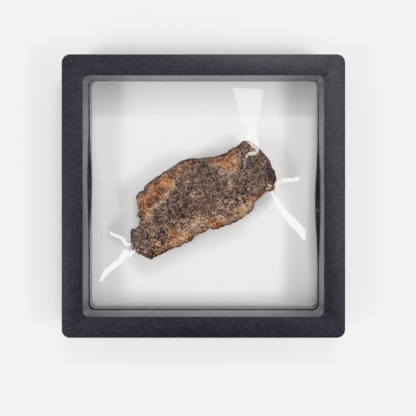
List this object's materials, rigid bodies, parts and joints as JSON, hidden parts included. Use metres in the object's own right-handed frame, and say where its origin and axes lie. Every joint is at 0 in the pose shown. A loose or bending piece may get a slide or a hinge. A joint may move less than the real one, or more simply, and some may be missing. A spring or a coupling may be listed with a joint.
{
  "type": "framed iron meteorite",
  "caption": "Rusted iron meteorite slab held between stretched clear films in a square black split display frame.",
  "frame": {"origin": "centre of the back face of the frame, which lies on the table", "axes": "+Z out of the front face, +Y towards the top edge of the frame, +X towards its right edge"},
  "size_m": [0.11, 0.11, 0.02],
  "materials": {
    "rusted_iron": "weathered crust with rust patches",
    "clear_film": "clear stretched polyurethane film",
    "ring_plastic": "smooth black",
    "black_plastic": "fine spark-eroded texture"
  },
  "bodies": {
    "root": {"meteorite": "rusted_iron", "front_film": "clear_film", "back_film": "clear_film", "front_film_ring": "ring_plastic", "back_film_ring": "ring_plastic", "front_frame": "black_plastic", "back_frame": "black_plastic"}
  },
  "joints": []
}
